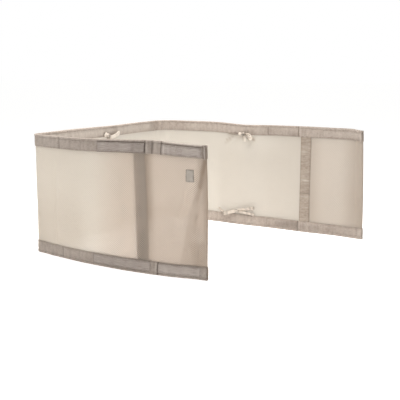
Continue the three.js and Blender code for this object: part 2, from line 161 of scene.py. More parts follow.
# Painted shade along pressed or pulled lines in the mesh, as for the hems but with true heights
MESH_CREASES = [
    # painted shade of a slack fold that widens down from the near top corner, and of the dark edge beside it
    (3, 264, 12, 238, 11.0, 0.97), (12, 238, 19, 207, 13.0, 0.82), (19, 207, 27, 179, 12.0, 0.6),
    (27, 179, 27, 144, 10.0, 0.44), (27, 144, 32, 104, 12.0, 0.56), (2, 240, 2, 40, 15.0, 0.6),
    # painted shade where the cloth is pulled together at the far ties
    (1368, 268.5, 1388, 268.5, 1.8, 1.8), (1345, 271, 1366, 270, 1.8, 0.9), (1337, 250, 1366, 264, 2.2, 0.5),
    (1330, 238, 1352, 252, 3.0, 0.3), (1345, 268, 1395, 262, 6.0, 0.35), (1411, 262, 1417, 256, 2.6, 0.9),
    (1408, 269, 1411, 264, 2.0, 1.5), (1396, 268, 1399, 262, 1.8, 1.3), (1424, 262, 1433, 256, 3.4, 0.8),
    (1342, 36, 1384, 39, 2.2, 0.9), (1384, 36, 1436, 30, 2.2, 0.7),
]
# Where the knit is stretched and its holes show, with painted shade in the holes and a painted highlight on
# the yarns, in the same terms
STRETCHED = [
    (240, 214, 238, 182, 20.0, 0.8), (224, 146, 222, 128, 12.0, 0.7), (182, 142, 182, 132, 10.0, 0.8),
    (226, 62, 240, 44, 14.0, 0.7), (172, 40, 164, 84, 14.0, 1.0), (8, 262, 32, 200, 14.0, 0.9),
    (24, 60, 22, 90, 18.0, 1.0), (1690, 90, 1730, 200, 24.0, 0.3),
]

NEAR_SKEW, NEAR_BULGE = 5.0, 3.0
FAR_SKEW, FAR_BULGE = 9.0, 2.0
END_FADE = 90.0
TURNED_WIDTH, TURNED_RAMP, TURNED_EXTRA = 22.0, 4.0, 1.0
MESH_HALF, MESH_THINNEST = 1.5, 0.3
MESH_LOW, MESH_ROWS = 4.3, 59
# Steps between points along the mesh, and along the bindings and tapes
MESH_STEP, SECTION_STEP = 3.6, 2.9

# Tapes on the outer face: where, start, stop, whether on the top hem
TAPES = [
    ("near_top_flap", 12.0, 128.0, True),
    ("near_top_main", 173.0, 303.0, True),
    ("near_foot_flap", 13.0, 121.0, False),
    ("near_foot_main", 138.0, 306.0, False),
    ("far_top_flap", LENGTH - 128.0, LENGTH - 13.0, True),
    ("far_top_main", LENGTH - 303.0, LENGTH - 200.0, True),
    ("far_foot_flap", LENGTH - 128.0, LENGTH - 13.0, False),
    ("far_foot_main", LENGTH - 303.0, LENGTH - 200.0, False),
]
TAPE_LOW, TAPE_HIGH = 7.0, 27.5
TAPE_BACK, TAPE_FACE = 3.6, 4.6
BAND_FROM, BAND_TO = 162.0, 195.0
BAND_BACK, BAND_FACE = 1.72, 2.85
NEAR_BAND_LEAN, NEAR_BAND_LEVEL = 0.115, 176.0
LABEL_FROM, LABEL_TO, LABEL_LOW, LABEL_HIGH = 35.0, 55.0, 216.0, 244.0
LABEL_BACK = 1.65
# How far seams run inside the edges of what they hold
TAPE_SEAM, BAND_SEAM, LABEL_SEAM = 1.8, 2.2, 1.6


def smooth(t):
    t = np.clip(t, 0.0, 1.0)
    return t * t * (3.0 - 2.0 * t)


def rise(x, start, over):
    """0 up to the start, then smoothly to 1 over a distance."""
    return smooth((x - start) / over)


def fall(x, end, over):
    """1, then smoothly to 0 over a distance that stops at the end."""
    return smooth((end - x) / over)


def bell(x, middle, half_width):
    return np.exp(-(((x - middle) / half_width) ** 2))


def value_noise(x, seed):
    """Smooth noise from -1 to 1 along a line."""
    table = np.random.RandomState(seed).uniform(-1.0, 1.0, 1024)
    cell = np.floor(x).astype(int)
    part = smooth(x - cell)
    return table[cell % 1024] * (1.0 - part) + table[(cell + 1) % 1024] * part


def value_noise_2d(x, y, seed):
    """Smooth noise from -1 to 1 over a plane."""
    table = np.random.RandomState(seed).uniform(-1.0, 1.0, (256, 64))
    cx, cy = np.floor(x).astype(int), np.floor(y).astype(int)
    px, py = smooth(x - cx), smooth(y - cy)

    def at(i, j):
        return table[(cx + i) % 256, (cy + j) % 64]

    low = at(0, 0) * (1 - px) + at(1, 0) * px
    high = at(0, 1) * (1 - px) + at(1, 1) * px
    return low * (1 - py) + high * py


def plan_at(s):
    """The strip's middle line on the floor, and its heading."""
    x = np.full(s.shape, NEAR_END[0])
    y = np.full(s.shape, NEAR_END[1])
    heading = np.full(s.shape, math.pi)
    start = 0.0
    for i, (run, turn) in enumerate(RUNS):
        low = -np.inf if i == 0 else 0.0
        high = np.inf if i == len(RUNS) - 1 else run
        step = np.clip(s - start, low, high)
        if turn == 0:
            x = x + step * np.cos(heading)
            y = y + step * np.sin(heading)
        else:
            bend = math.radians(turn) / run
            ahead = heading + bend * step
            x = x + (np.sin(ahead) - np.sin(heading)) / bend
            y = y - (np.cos(ahead) - np.cos(heading)) / bend
            heading = ahead
        start += run
    return x, y, heading


def between(column, s):
    """A smooth value between the rows of SWAY."""
    at, value = SWAY[:, AT], SWAY[:, column]
    last = len(at) - 1
    high = np.clip(np.searchsorted(at, s, side="right"), 1, last)
    low = high - 1
    span = at[high] - at[low]
    t = np.clip((s - at[low]) / span, 0.0, 1.0)
    before, after = np.maximum(low - 1, 0), np.minimum(high + 1, last)
    leave = (value[high] - value[before]) / (at[high] - at[before]) * span
    arrive = (value[after] - value[low]) / (at[after] - at[low]) * span
    leave = np.where(high > 1, leave, 0.0)
    arrive = np.where(high < last, arrive, 0.0)
    return (
        value[low] * (1 + 2 * t) * (1 - t) ** 2
        + value[high] * t * t * (3 - 2 * t)
        + leave * t * (1 - t) ** 2
        - arrive * t * t * (1 - t)
    )


def hem_share(z):
    """1 in the hems, falling to 0 over the mesh."""
    return fall(np.minimum(z, HEIGHT - z), 52.0, 26.0)


def sway_at(s, z):
    """How far the cloth stands out from its run."""
    up = z / HEIGHT
    out = between(FOOT, s) * (1 - up) + between(TOP, s) * up
    out = out + between(BELLY, s) * np.sin(math.pi * up)
    for at, height, lean, across, along, depth in FOLDS + WRINKLES:
        aside = (s - at - lean * (z - height)) / across
        taper = smooth(1.0 - np.abs(z - height) / along)
        out = out + depth * np.exp(-aside * aside) * taper
    # slack in the mesh, and small gathers where the hems are sewn on
    out = out + 0.7 * value_noise_2d(s / 46.0, z / 95.0, 3) * (1.0 - hem_share(z))
    gathers = 0.2 * value_noise(s / 7.0, 11) + 0.28 * value_noise(s / 17.0, 12)
    top_gathers = 0.2 * value_noise(s / 6.5, 13) + 0.28 * value_noise(s / 19.0, 14)
    return out + hem_share(z) * np.where(z < HEIGHT / 2, gathers, top_gathers)


def place(s, z, out):
    """Points in metres at places along the strip, heights and distances out, all in millimetres."""
    s, z, out = np.broadcast_arrays(*(np.asarray(v, dtype=float) for v in (s, z, out)))
    up = z / HEIGHT
    near = (NEAR_SKEW * up - NEAR_BULGE * np.sin(math.pi * up)) * np.clip(1 - s / END_FADE, 0, 1)
    far = (FAR_SKEW * up - FAR_BULGE * np.sin(math.pi * up)) * np.clip(1 - (LENGTH - s) / END_FADE, 0, 1)
    x, y, heading = plan_at(s + near - far)
    aside = sway_at(s, z) + out
    height = z * (1 + between(RISE, s) / HEIGHT)
    return np.stack([x - np.sin(heading) * aside, y + np.cos(heading) * aside, height], axis=-1) * MM


def line_tone(lines, s, z):
    """The tone of soft lines at places and heights, the strongest dark and pale ones added."""
    dark, pale = np.zeros(np.broadcast(s, z).shape), np.zeros(np.broadcast(s, z).shape)
    for s0, z0, s1, z1, wide, tone in lines:
        run, climb = s1 - s0, z1 - z0
        t = np.clip(((s - s0) * run + (z - z0) * climb) / (run * run + climb * climb), 0.0, 1.0)
        far = np.hypot(s - s0 - t * run, z - z0 - t * climb) / wide
        value = tone * np.exp(-far * far)
        dark, pale = np.minimum(dark, value), np.maximum(pale, value)
    return dark + pale


def from_rim(z, top):
    """A height as a distance from the hem's rim, and the other way round."""
    return HEIGHT - z if top else z


def hem_tone(s, z, side):
    """A hem face's tone: painted shade in creases, painted light on lit places, painted shade of fine
    gathers.
    """
    s, z = np.broadcast_arrays(s, z)
    top = z > HEIGHT / 2
    zeta = np.where(top, HEIGHT - z, z)
    above, below = (OUTER_TOP_TONES, OUTER_FOOT_TONES) if side > 0 else (INNER_TOP_TONES, INNER_FOOT_TONES)
    tone = np.where(top, line_tone(above, s, zeta), line_tone(below, s, zeta))
    gather = value_noise(s / 3.4 + 60 * side + 300 * top, 71) * 0.03
    gather = gather + value_noise(s / 9.0 + 500 * top, 72) * 0.07
    return tone + gather * rise(zeta, 1.0, 3.0)


def add_tone(obj, values, name="tone"):
    """Gives each point of a piece a number that its material reads."""
    layer = obj.data.attributes.new(name, "FLOAT", "POINT")
    layer.data.foreach_set("value", np.asarray(values, dtype=np.float32).ravel())


def from_end(s):
    return np.minimum(s, LENGTH - s)


def turned_at(s):
    """Extra half thickness where the mesh is turned double at the free ends."""
    return TURNED_EXTRA * np.clip((TURNED_WIDTH - from_end(s)) / TURNED_RAMP, 0.0, 1.0)


# -------- meshes
def link_object(name, data):
    obj = bpy.data.objects.new(name, data)
    bpy.context.scene.collection.objects.link(obj)
    return obj


def new_object(name, points, faces, uvs, material):
    """A smooth object riding the part's body, its faces turned outwards. uvs is one pair per face corner."""
    mesh = bpy.data.meshes.new(name)
    mesh.from_pydata([tuple(p) for p in points], [], faces)
    layer = mesh.uv_layers.new(name="cloth")
    layer.uv.foreach_set("vector", np.asarray(uvs, dtype=np.float32).ravel())
    made = bmesh.new()
    made.from_mesh(mesh)
    bmesh.ops.recalc_face_normals(made, faces=made.faces)
    made.to_mesh(mesh)
    made.free()
    mesh.polygons.foreach_set("use_smooth", [True] * len(mesh.polygons))
    mesh.materials.append(material)
    obj = link_object(name, mesh)
    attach(obj, "root")
    return obj


def declare(piece, node):
    """Hides the solid that a piece dresses."""
    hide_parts(node)
    return piece


def skin(grid, u, v, first=0):
    """Faces round rings of points and over both ends, and the cloth's own coordinates at their corners.
    grid is (stations, ring, 3). u and v are in millimetres, with one more column than the ring has, so that
    the last face doesn't run back."""
    count, ring = grid.shape[:2]
    index = np.arange(count * ring).reshape(count, ring) + first
    ahead = np.roll(index, -1, axis=1)
    quads = np.stack([index[:-1], ahead[:-1], ahead[1:], index[1:]], axis=-1).reshape(-1, 4)
    corner = np.stack(np.broadcast_arrays(u, v), axis=-1) * MM
    cells = [corner[:-1, :-1], corner[:-1, 1:], corner[1:, 1:], corner[1:, :-1]]
    uvs = [np.stack(cells, axis=2).reshape(-1, 2), corner[0, :-1][::-1], corner[-1, :-1]]
    return quads.tolist() + [index[0][::-1].tolist(), index[-1].tolist()], np.concatenate(uvs)


def loft(name, grid, u, v, material):
    """A closed solid through rings of points."""
    faces, uvs = skin(grid, u, v)
    return new_object(name, grid.reshape(-1, 3), faces, uvs, material)


def stations(start, stop, step, extra):
    """Places from start to stop, closer together by the ends, where an edge is rounded."""
    count = max(int(round((stop - start) / step)), 2)
    even = np.linspace(start, stop, count + 1)
    close = [d for d in (0.25, 0.7, 1.3, 2.1) if d < (stop - start) / 4]
    ends = [start + d for d in close] + [stop - d for d in close]
    return np.unique(np.round(np.concatenate([even, ends, list(extra)]), 4))


def rounded(share):
    """How full a rounded edge is, a share of its radius inside."""
    return np.sqrt(1.0 - (1.0 - np.clip(share, 0.0, 1.0)) ** 2)


def along_section(name, start, stop, section, material, radius, puff):
    """A piece that follows the strip with one section, a ring of heights and distances out. Its ends are
    rounded if it has a radius, and puff says how much further out it swells."""
    s = stations(start, stop, SECTION_STEP, [at for at in CREASED if start < at < stop])[:, None]
    z, out = np.array(section, dtype=float).T
    spread = out
    if radius:
        middle = (out.max() + out.min()) / 2
        full = np.maximum(rounded(np.minimum(s - start, stop - s) / radius), 0.2)
        spread = middle + (out - middle) * full
    spread = spread + puff(s, z, out) + np.sign(out) * turned_at(s)
    steps = np.hypot(np.diff(np.append(z, z[0])), np.diff(np.append(out, out[0])))
    arc = np.concatenate([[0.0], np.cumsum(steps)])
    piece = loft(name, place(s, z, spread), s, arc, material)
    add_tone(piece, np.where(out > 0, hem_tone(s, z, 1), hem_tone(s, z, -1)))
    return piece


# -------- materials
def linear(*colour):
    """Blender's linear colour of an sRGB one in 0 to 255."""
    return (*(((c / 255 + 0.055) / 1.055) ** 2.4 if c > 10 else c / 255 / 12.92 for c in colour), 1.0)


def shade(colour):
    """A socket's colour: three numbers are sRGB in 0 to 255, and anything else stays as it is."""
    return linear(*colour) if isinstance(colour, tuple) and len(colour) == 3 else colour


class Nodes:
    """The shader nodes of one tree. Each method adds some, and returns an output."""

    def __init__(self, tree):
        tree.nodes.clear()
        self.tree = tree

    def make(self, kind, sockets=None, output=0, **settings):
        """A node with its settings and inputs, as the output asked for."""
        node = self.tree.nodes.new("ShaderNode" + kind)
        for key, value in settings.items():
            setattr(node, key, value)
        for key, value in (sockets or {}).items():
            if isinstance(value, bpy.types.NodeSocket):
                self.tree.links.new(value, node.inputs[key])
            else:
                node.inputs[key].default_value = value
        return node.outputs[output] if len(node.outputs) else None

    def math(self, operation, a, b):
        return self.make("Math", {0: a, 1: b}, operation=operation)

    def times(self, a, b):
        return self.math("MULTIPLY", a, b)

    def add(self, a, b, share=None):
        """The sum of a and a share of b."""
        return self.math("ADD", a, b if share is None else self.times(b, share))

    def vector(self, operation, a, b=(0.0, 0.0, 0.0), output=0):
        return self.make("VectorMath", {0: a, 1: b}, output, operation=operation)

    def scaled(self, a, scale):
        return self.make("VectorMath", {0: a, 3: scale}, operation="SCALE")

    def ramp(self, value, low, high, to_low=0.0, to_high=1.0):
        spans = {"Value": value, "From Min": low, "From Max": high, "To Min": to_low, "To Max": to_high}
        return self.make("MapRange", spans, interpolation_type="SMOOTHSTEP")

    def mix(self, factor, a, b):
        return self.make("Mix", {0: factor, 6: shade(a), 7: shade(b)}, 2, data_type="RGBA")

    def noise(self, at, scale, detail=2.0, roughness=0.5, output=0):
        sizes = {"Vector": at, "Scale": scale, "Detail": detail, "Roughness": roughness}
        return self.make("TexNoise", sizes, output)

    def wave(self, at, scale, distortion, detail=2.0, detail_scale=1.0, way="X"):
        sizes = {"Vector": at, "Scale": scale, "Distortion": distortion, "Detail": detail}
        return self.make("TexWave", {**sizes, "Detail Scale": detail_scale}, bands_direction=way)

    def cloth_place(self):
        """The cloth's own coordinates, in millimetres."""
        return self.scaled(self.make("UVMap", uv_map="cloth"), 1000.0)

    def point_value(self, name):
        """A number that add_tone gave to each point."""
        return self.make("Attribute", output=2, attribute_name=name)

    def toned(self, colour, painted_light=(226, 218, 208)):
        """A colour darkened toward painted crease shade where the tone is below 0, and made paler with
        painted light above 0.
        """
        tone = self.point_value("tone")
        colour = self.mix(self.ramp(tone, 0.0, -1.0, 0.0, 0.85), colour, PAINTED_SHADE_COLOUR)
        return self.mix(self.ramp(tone, 0.0, 1.0, 0.0, 0.85), colour, painted_light)

    def bump(self, height, strength, distance):
        return self.make("Bump", {"Height": height, "Strength": strength, "Distance": distance})

    def cloth(self, roughness, sheen, tint, colour, relief, glow=None, share=0.0):
        """A cloth's shader, with a share of light in the colour of its glow that soaks through."""
        sockets = {"Base Color": colour, "Normal": relief, "Roughness": roughness, "Specular IOR Level": 0.25}
        sheens = {"Sheen Weight": sheen, "Sheen Roughness": 0.5, "Sheen Tint": shade(tint)}
        surface = self.make("BsdfPrincipled", {**sockets, **sheens})
        if glow is None:
            return surface
        through = self.make("BsdfTranslucent", {"Color": shade(glow), "Normal": relief})
        return self.make("MixShader", {0: share, 1: surface, 2: through})


def new_material(name, surface, *values, **more):
    """A material from a function that makes its surface."""
    material = bpy.data.materials.new(name)
    material.use_nodes = True
    nodes = Nodes(material.node_tree)
    nodes.make("OutputMaterial", {"Surface": surface(nodes, *values, **more)})
    return material


HOLE_ALONG, HOLE_UP = 6.0, 4.6
# the colour of painted shade in creases and folds
PAINTED_SHADE_COLOUR = (74, 64, 57)
# A wave texture's scale for one wave a millimetre
ONE_WAVE = 0.314


def spacer_mesh(nodes):
    """Knitted air mesh: staggered round holes between fine yarns, which glow when lit from behind."""
    at = nodes.cloth_place()
    drift = nodes.vector("SUBTRACT", nodes.noise(at, 0.05, output=1), (0.5, 0.5, 0.5))
    at_knit = nodes.vector("ADD", at, nodes.scaled(drift, 2.2))

    def hole_distance(*shift):
        cell = nodes.vector("ADD", at_knit, (*shift, 0.0))
        cell = nodes.vector("DIVIDE", cell, (HOLE_ALONG, HOLE_UP, 1.0))
        cell = nodes.vector("SUBTRACT", nodes.vector("FRACTION", cell), (0.5, 0.5, 0.5))
        cell = nodes.vector("MULTIPLY", cell, (HOLE_ALONG * 0.82, HOLE_UP, 0.0))
        return nodes.vector("LENGTH", cell, output=1)

    distance = nodes.math("MINIMUM", hole_distance(0.0, 0.0), hole_distance(HOLE_ALONG / 2, HOLE_UP / 2))
    yarn = nodes.ramp(distance, 0.75, 1.45)
    strands = nodes.wave(at_knit, 0.55, 2.5, detail_scale=1.5)
    fuzz = nodes.noise(at, 1.3, 4.0, 0.7)
    density_and_shade, stretched = nodes.point_value("density_and_shade"), nodes.point_value("stretched")
    warmth = nodes.times(nodes.point_value("warmth"), 0.24)
    # creases have values above 1, up to 2 where their painted shade is darkest
    shaded = nodes.ramp(density_and_shade, 1.0, 2.0)

    colour = nodes.mix(nodes.noise(at, 0.012, 3.0, 0.6), (213, 207, 197), (220, 214, 205))
    colour = nodes.mix(nodes.times(fuzz, 0.25), colour, (212, 203, 191))
    colour = nodes.mix(warmth, colour, (222, 196, 180))
    # where the knit is stretched, its holes show, with painted shade in them and a painted highlight on the
    # yarns between them
    hole = nodes.times(nodes.math("SUBTRACT", 1.0, yarn), stretched)
    crest_highlight = nodes.times(nodes.times(yarn, stretched), 0.42)
    colour = nodes.mix(crest_highlight, colour, (248, 242, 232))
    # darker where the cloth lies double, with painted shade of slack folds, the bands and slow changes of
    # light, and dark painted shade in creases
    colour = nodes.mix(density_and_shade, colour, (172, 157, 142))
    colour = nodes.mix(shaded, colour, PAINTED_SHADE_COLOUR)
    colour = nodes.mix(hole, colour, (150, 138, 125))
    glow = nodes.mix(warmth, (238, 233, 225), (234, 206, 188))
    glow = nodes.mix(density_and_shade, glow, (172, 154, 137))
    glow = nodes.mix(shaded, glow, PAINTED_SHADE_COLOUR)
    relief = nodes.bump(nodes.add(nodes.add(yarn, strands, 0.35), fuzz, 0.35), 0.55, 0.0006)
    cloth = nodes.cloth(0.85, 0.15, (255, 246, 232), colour, relief, glow, 0.54)
    # the far layer and the spacer yarns fill most of each hole
    open_share = nodes.add(nodes.times(hole, 0.2), 0.15)
    open_share = nodes.times(open_share, nodes.ramp(density_and_shade, 0.0, 1.0, 1.0, 0.25))
    return nodes.make("MixShader", {0: open_share, 1: cloth, 2: nodes.make("BsdfTransparent")})


def woven(nodes, dark, light, streak=(0.3, 0.03), contrast=1.0, pitch=0.9):
    """Plain-woven cloth with slubs, streaked along one of its threads."""
    at = nodes.cloth_place()
    slubs = nodes.noise(nodes.vector("MULTIPLY", at, (*streak, 1.0)), 1.0, 4.0, 0.65)
    flecks = nodes.noise(nodes.vector("MULTIPLY", at, (0.12, 0.7, 1.0)), 1.0)
    warp, weft = (nodes.wave(at, ONE_WAVE / pitch, 0.6, 1.0, way=way) for way in "XY")
    weave = nodes.times(warp, weft)
    tone = nodes.add(nodes.ramp(slubs, 0.32, 0.68, -0.3, 0.3), nodes.ramp(flecks, 0.3, 0.7, -0.28, 0.28))
    tone = nodes.add(tone, nodes.ramp(nodes.noise(at, 0.02), 0.3, 0.7, -0.15, 0.15))
    tone = nodes.add(nodes.times(tone, contrast), nodes.ramp(weave, 0.0, 1.0, 0.32, 0.62))
    colour = nodes.toned(nodes.mix(tone, dark, light))
    relief = nodes.bump(nodes.add(weave, slubs, 0.4), 0.5, 0.00035)
    return nodes.cloth(0.88, 0.2, (250, 240, 228), colour, relief, light, 0.12)


def hooked(nodes, dark, light):
    """Hook-and-loop tape: rows of short bristles on a woven ground."""
    at = nodes.cloth_place()
    turn = {"Vector": at, "Angle": math.radians(12)}
    rows = nodes.wave(nodes.make("VectorRotate", turn, rotation_type="Z_AXIS"), ONE_WAVE / 2, 1.2)
    bristles = nodes.make("TexVoronoi", {"Vector": at, "Scale": 1.1})
    slubs = nodes.noise(nodes.vector("MULTIPLY", at, (0.05, 0.8, 1.0)), 1.0, 3.0, 0.6)
    tone = nodes.add(nodes.times(rows, 0.35), nodes.noise(at, 0.9, 3.0, 0.6), 0.6)
    tone = nodes.add(tone, nodes.ramp(slubs, 0.3, 0.7, -0.35, 0.35))
    colour = nodes.toned(nodes.mix(tone, dark, light))
    relief = nodes.bump(nodes.add(rows, nodes.math("SUBTRACT", 1.0, bristles)), 0.6, 0.0005)
    return nodes.cloth(0.8, 0.3, (240, 232, 222), colour, relief)


def twisted(nodes, colour):
    """Sewing thread."""
    twist = nodes.wave(nodes.make("TexCoord", output=3), 900.0, 1.0, way="DIAGONAL")
    dark = (*(0.72 * c for c in linear(*colour)[:3]), 1.0)
    relief = nodes.bump(twist, 0.4, 0.0001)
    return nodes.cloth(0.6, 0.1, (255, 250, 240), nodes.mix(twist, dark, colour), relief)


def ribbed(nodes):
    """Grosgrain ribbon: fine ribs across its width, with a soft sheen."""
    at = nodes.cloth_place()
    mottle = nodes.noise(at, 0.3, 3.0, 0.6)
    colour = nodes.toned(nodes.mix(mottle, (204, 192, 180), (228, 218, 207)), (250, 244, 234))
    relief = nodes.bump(nodes.add(nodes.wave(at, ONE_WAVE / 0.8, 0.3), mottle, 0.5), 0.45, 0.0002)
    return nodes.cloth(0.55, 0.35, (255, 248, 236), colour, relief, (240, 233, 222), 0.22)


MESH = new_material("spacer_mesh", spacer_mesh)
BINDING = new_material("binding_weave", woven, (152, 139, 129), (200, 188, 178), (0.12, 0.06), 0.6)
BAND = new_material("band_weave", woven, (142, 129, 117), (184, 171, 158), (0.04, 0.3), 0.9)
TAPE = new_material("hook_loop_tape", hooked, (140, 128, 121), (188, 177, 169))
LABEL = new_material("label_weave", woven, (177, 168, 158), (208, 200, 190), contrast=0.5, pitch=0.5)
THREAD = new_material("stitching", twisted, (150, 134, 121))
# painted shade: the tapes' thread is darker than the binding's to stand in for the shade in its grooves
SHADE_DARKENED_THREAD = new_material("tape_stitching", twisted, (118, 104, 94))
RIBBON = new_material("ribbon", ribbed)


# -------- the mesh strip
def density_and_shade_at(s, z):
    """How dark the mesh is made, from 0 for single cloth to 1 where it lies double, with painted shade of
    folds, bands and slow changes of light mixed in, and up to 2 where creases are painted with dark shade.
    """
    s, z = np.broadcast_arrays(s, z)
    end, near, low = from_end(s), s < LENGTH / 2, fall(z, 200.0, 120.0)
    # darker by the free ends, where the mesh is turned double, with painted shade along the rolled edge
    # itself
    edge = np.where(near, 0.62 * fall(end, 9.0, 6.0), 0.12 * fall(end, 22.0, 3.0))
    edge = np.maximum(edge, 0.8 * fall(end, 3.0, 1.5))
    # painted shade of the slack that hangs beyond the fold by the near end
    slack_shade = (0.38 + 0.1 * fall(z, 150.0, 40.0)) * fall(s, 34.0 + 0.17 * (270.0 - z), 14.0) * near
    slack_foot_shade = 0.6 * fall(z, 124.0, 50.0) * fall(s, 60.0 - 0.2 * (83.0 - z), 20.0) * near
    # painted shadow of the upright bands, which block the light through the cloth beside them
    from_band = BAND_FROM + NEAR_BAND_LEAN * (z - NEAR_BAND_LEVEL) - s
    from_far_band = s - (LENGTH - BAND_FROM)
    painted_shade = (0.42 - 0.28 * fall(z, 150.0, 70.0)) * fall(from_band, 26.0, 24.0) * rise(from_band, -8.0, 10.0)
    far_band_shade = 0.18 * fall(from_far_band, 44.0, 44.0) * (from_far_band > -6.0)
    # slow changes of light along each side
    near_slope = 0.2 * fall(s, 340.0, 120.0) + 0.13 * low * fall(s, 190.0, 40.0)
    near_slope = near_slope + rise(s, 290.0, 80.0) * (0.08 + 0.14 * low) * fall(s, 590.0, 50.0)
    far_slope = 0.17 * rise(s, 1430.0, 150.0) + 0.3 * fall(end, 80.0, 75.0)
    far_slope = far_slope + 0.07 * low * rise(s, 1590.0, 40.0)
    far_slope = far_slope + 0.08 * rise(s, 1290.0, 40.0) * fall(z, 250.0, 60.0) * fall(s, 1560.0, 90.0)
    painted_shade = np.where(near, painted_shade + near_slope, far_band_shade + far_slope)
    # painted shade of a crease pressed in by folding
    fold_shade = 0.1 * bell(s, 424.0, 5.0)
    return np.maximum.reduce([edge, slack_shade, slack_foot_shade, painted_shade, fold_shade, line_tone(MESH_CREASES, s, z)])


def warmth_at(s):
    """How warm the light through the two ends' cloth is, from 0 to 1."""
    return fall(s, 340.0, 140.0) + 0.45 * rise(s, 1580.0, 30.0)


def build_mesh_body():
    s = stations(0.0, LENGTH, MESH_STEP, (TURNED_WIDTH - 2, TURNED_WIDTH, LENGTH - TURNED_WIDTH))[:, None]
    up = np.linspace(MESH_LOW, HEIGHT - MESH_LOW, MESH_ROWS)
    z = np.concatenate([up, up[::-1]])
    half = MESH_HALF + turned_at(s)
    out = np.maximum(half * rounded(from_end(s) / half), MESH_THINNEST) * np.repeat([1.0, -1.0], MESH_ROWS)
    arc = np.concatenate([up, up[::-1] + 1.7, up[:1]])
    body = loft("mesh_body", place(s, z, out), s, arc, MESH)
    add_tone(body, density_and_shade_at(s, z), "density_and_shade")
    add_tone(body, np.broadcast_to(warmth_at(s), out.shape), "warmth")
    patchy = 0.06 * value_noise_2d(s / 60.0, z / 50.0, 17)
    add_tone(body, 0.2 + patchy + 0.75 * line_tone(STRETCHED, s, z), "stretched")
    return declare(body, "mesh_panel")


mesh_body = build_mesh_body()

# -------- the bindings
# A hem's outer half from its sewn edge to its rim: distance from the rim, and distance out
HEM_PROFILE = [
    (30.0, 1.95), (30.15, 2.35), (29.9, 2.75), (29.2, 2.95), (28.3, 2.92), (27.7, 2.78), (27.0, 2.92),
    (25.0, 3.12), (22.0, 3.28), (18.5, 3.38), (15.0, 3.4), (11.5, 3.34), (9.0, 3.2), (7.4, 3.05), (6.6, 2.9),
    (6.0, 2.82), (5.4, 2.95), (4.6, 3.4), (3.6, 3.82), (2.4, 3.9), (1.3, 3.55), (0.5, 2.75), (0.1, 1.5),
]
SLOT_LINE = [(4.2, 1.8), (12.0, 1.8), (21.0, 1.8), (29.6, 1.8)]


def hem_out(zeta):
    profile = np.array(HEM_PROFILE[::-1])
    return np.interp(zeta, profile[:, 0], profile[:, 1])


def taped_at(s, top):
    """1 where a tape covers the hem's outer face."""
    covered = np.zeros(np.shape(s))
    for _, start, stop, on_top in TAPES:
        if on_top == top:
            covered = np.maximum(covered, smooth(np.minimum(s - start + 4, stop + 4 - s) / 4.0))
    return covered


def build_binding(name, node, top):
    ring = [(0.0, 0.0), *HEM_PROFILE[::-1], *SLOT_LINE[::-1]]
    ring += [(zeta, -out) for zeta, out in SLOT_LINE + HEM_PROFILE]
    section = [(from_rim(zeta, top), out) for zeta, out in ring]
    seed = 21 if top else 31

    def puff(s, z, out):
        zeta = from_rim(z, top)
        pillow = np.clip((zeta - 7.0) * (27.0 - zeta) / 100.0, 0.0, 1.0) * (np.abs(out) > 2.5)
        rim = fall(zeta, 6.0, 3.0) * (np.abs(out) > 1.0)
        free = 1.0 - taped_at(s, top) * (out > 0)
        side = np.where(out > 0, 0.0, 40.0)
        swell = 0.34 * value_noise_2d((s + side) / 9.0, zeta / 14.0, seed) * pillow * free
        swell = swell + 0.2 * value_noise((s + 2 * side) / 8.0, seed + 1) * rim
        return np.sign(out) * swell

    return declare(along_section(name, 0.0, LENGTH, section, BINDING, 0.0, puff), node)


hem_top = build_binding("hem_top", "binding_top", True)
hem_foot = build_binding("hem_foot", "binding_foot", False)


# -------- upright bands on the inner face
def build_band(name, node, start, stop, seed, lean, tones):
    z = np.linspace(HEM + 0.3, HEIGHT - HEM - 0.3, 96)[:, None]
    across = np.array([0.0, 0.15, 0.8, 1.8, 2.6, 5.0, 9.0, 13.0, 16.5])
    s = np.unique(np.concatenate([start + across, stop - across]))
    inside = np.minimum(s - start, stop - s)
    pucker = 0.34 * value_noise_2d(s / 24.0, z / 7.0, seed)
    pucker = pucker + 0.3 * value_noise_2d(s / 40.0, z / 19.0, seed + 1)
    face = BAND_FACE + pucker * rise(inside, 2.0, 5.0) - 0.22 * bell(inside, BAND_SEAM, 0.5)
    face = BAND_BACK + (face - BAND_BACK) * (0.35 + 0.65 * smooth(inside / 0.8))
    # rings run up the band, so that each is the band's section at one height
    leaned = s + lean * (z - NEAR_BAND_LEVEL)
    grid = np.concatenate([place(leaned, z, -face), place(leaned[:, ::-1], z, -BAND_BACK)], axis=1)
    # the weft runs across the band, so its cloth coordinates are turned: u is across it and v up it
    u = np.concatenate([s, s[::-1] + 40.0])
    band = loft(name, grid, np.append(u, u[-1] - 0.9), z, BAND)
    # painted light and shade of the band's gathers, and painted shade along its seams
    tone = 0.22 * value_noise(z / 4.5, seed + 2)
    for height, wide, much in tones:
        tone = tone + much * bell(z, height, wide)
    tone = tone * (0.65 + 0.35 * value_noise_2d(s / 9.0, z / 5.0, seed + 3))
    tone = tone - 0.3 * bell(inside, BAND_SEAM, 0.8)
    behind = tone[:, ::-1]
    if lean:
        # the near band is seen through the mesh, and its back is painted paler towards one edge and at its
        # foot, painted light that softens the band's shade on the mesh
        paler = 0.27 + 0.15 * rise(s, 168.0, 10.0) + 0.8 * rise(s, 177.0, 14.0)
        behind = behind * 0.4 + paler[::-1] + fall(z, 150.0, 70.0) * fall(s, 169.0, 5.0)[::-1]
    add_tone(band, np.concatenate([tone, behind], axis=1))
    return declare(band, node)


cloth_band_near = build_band("cloth_band_near", "band_near", BAND_FROM, BAND_TO, 41, NEAR_BAND_LEAN, [])
cloth_band_far = build_band(
    "cloth_band_far", "band_far", LENGTH - BAND_TO, LENGTH - BAND_FROM, 51, 0.0, BAND_TONES
)


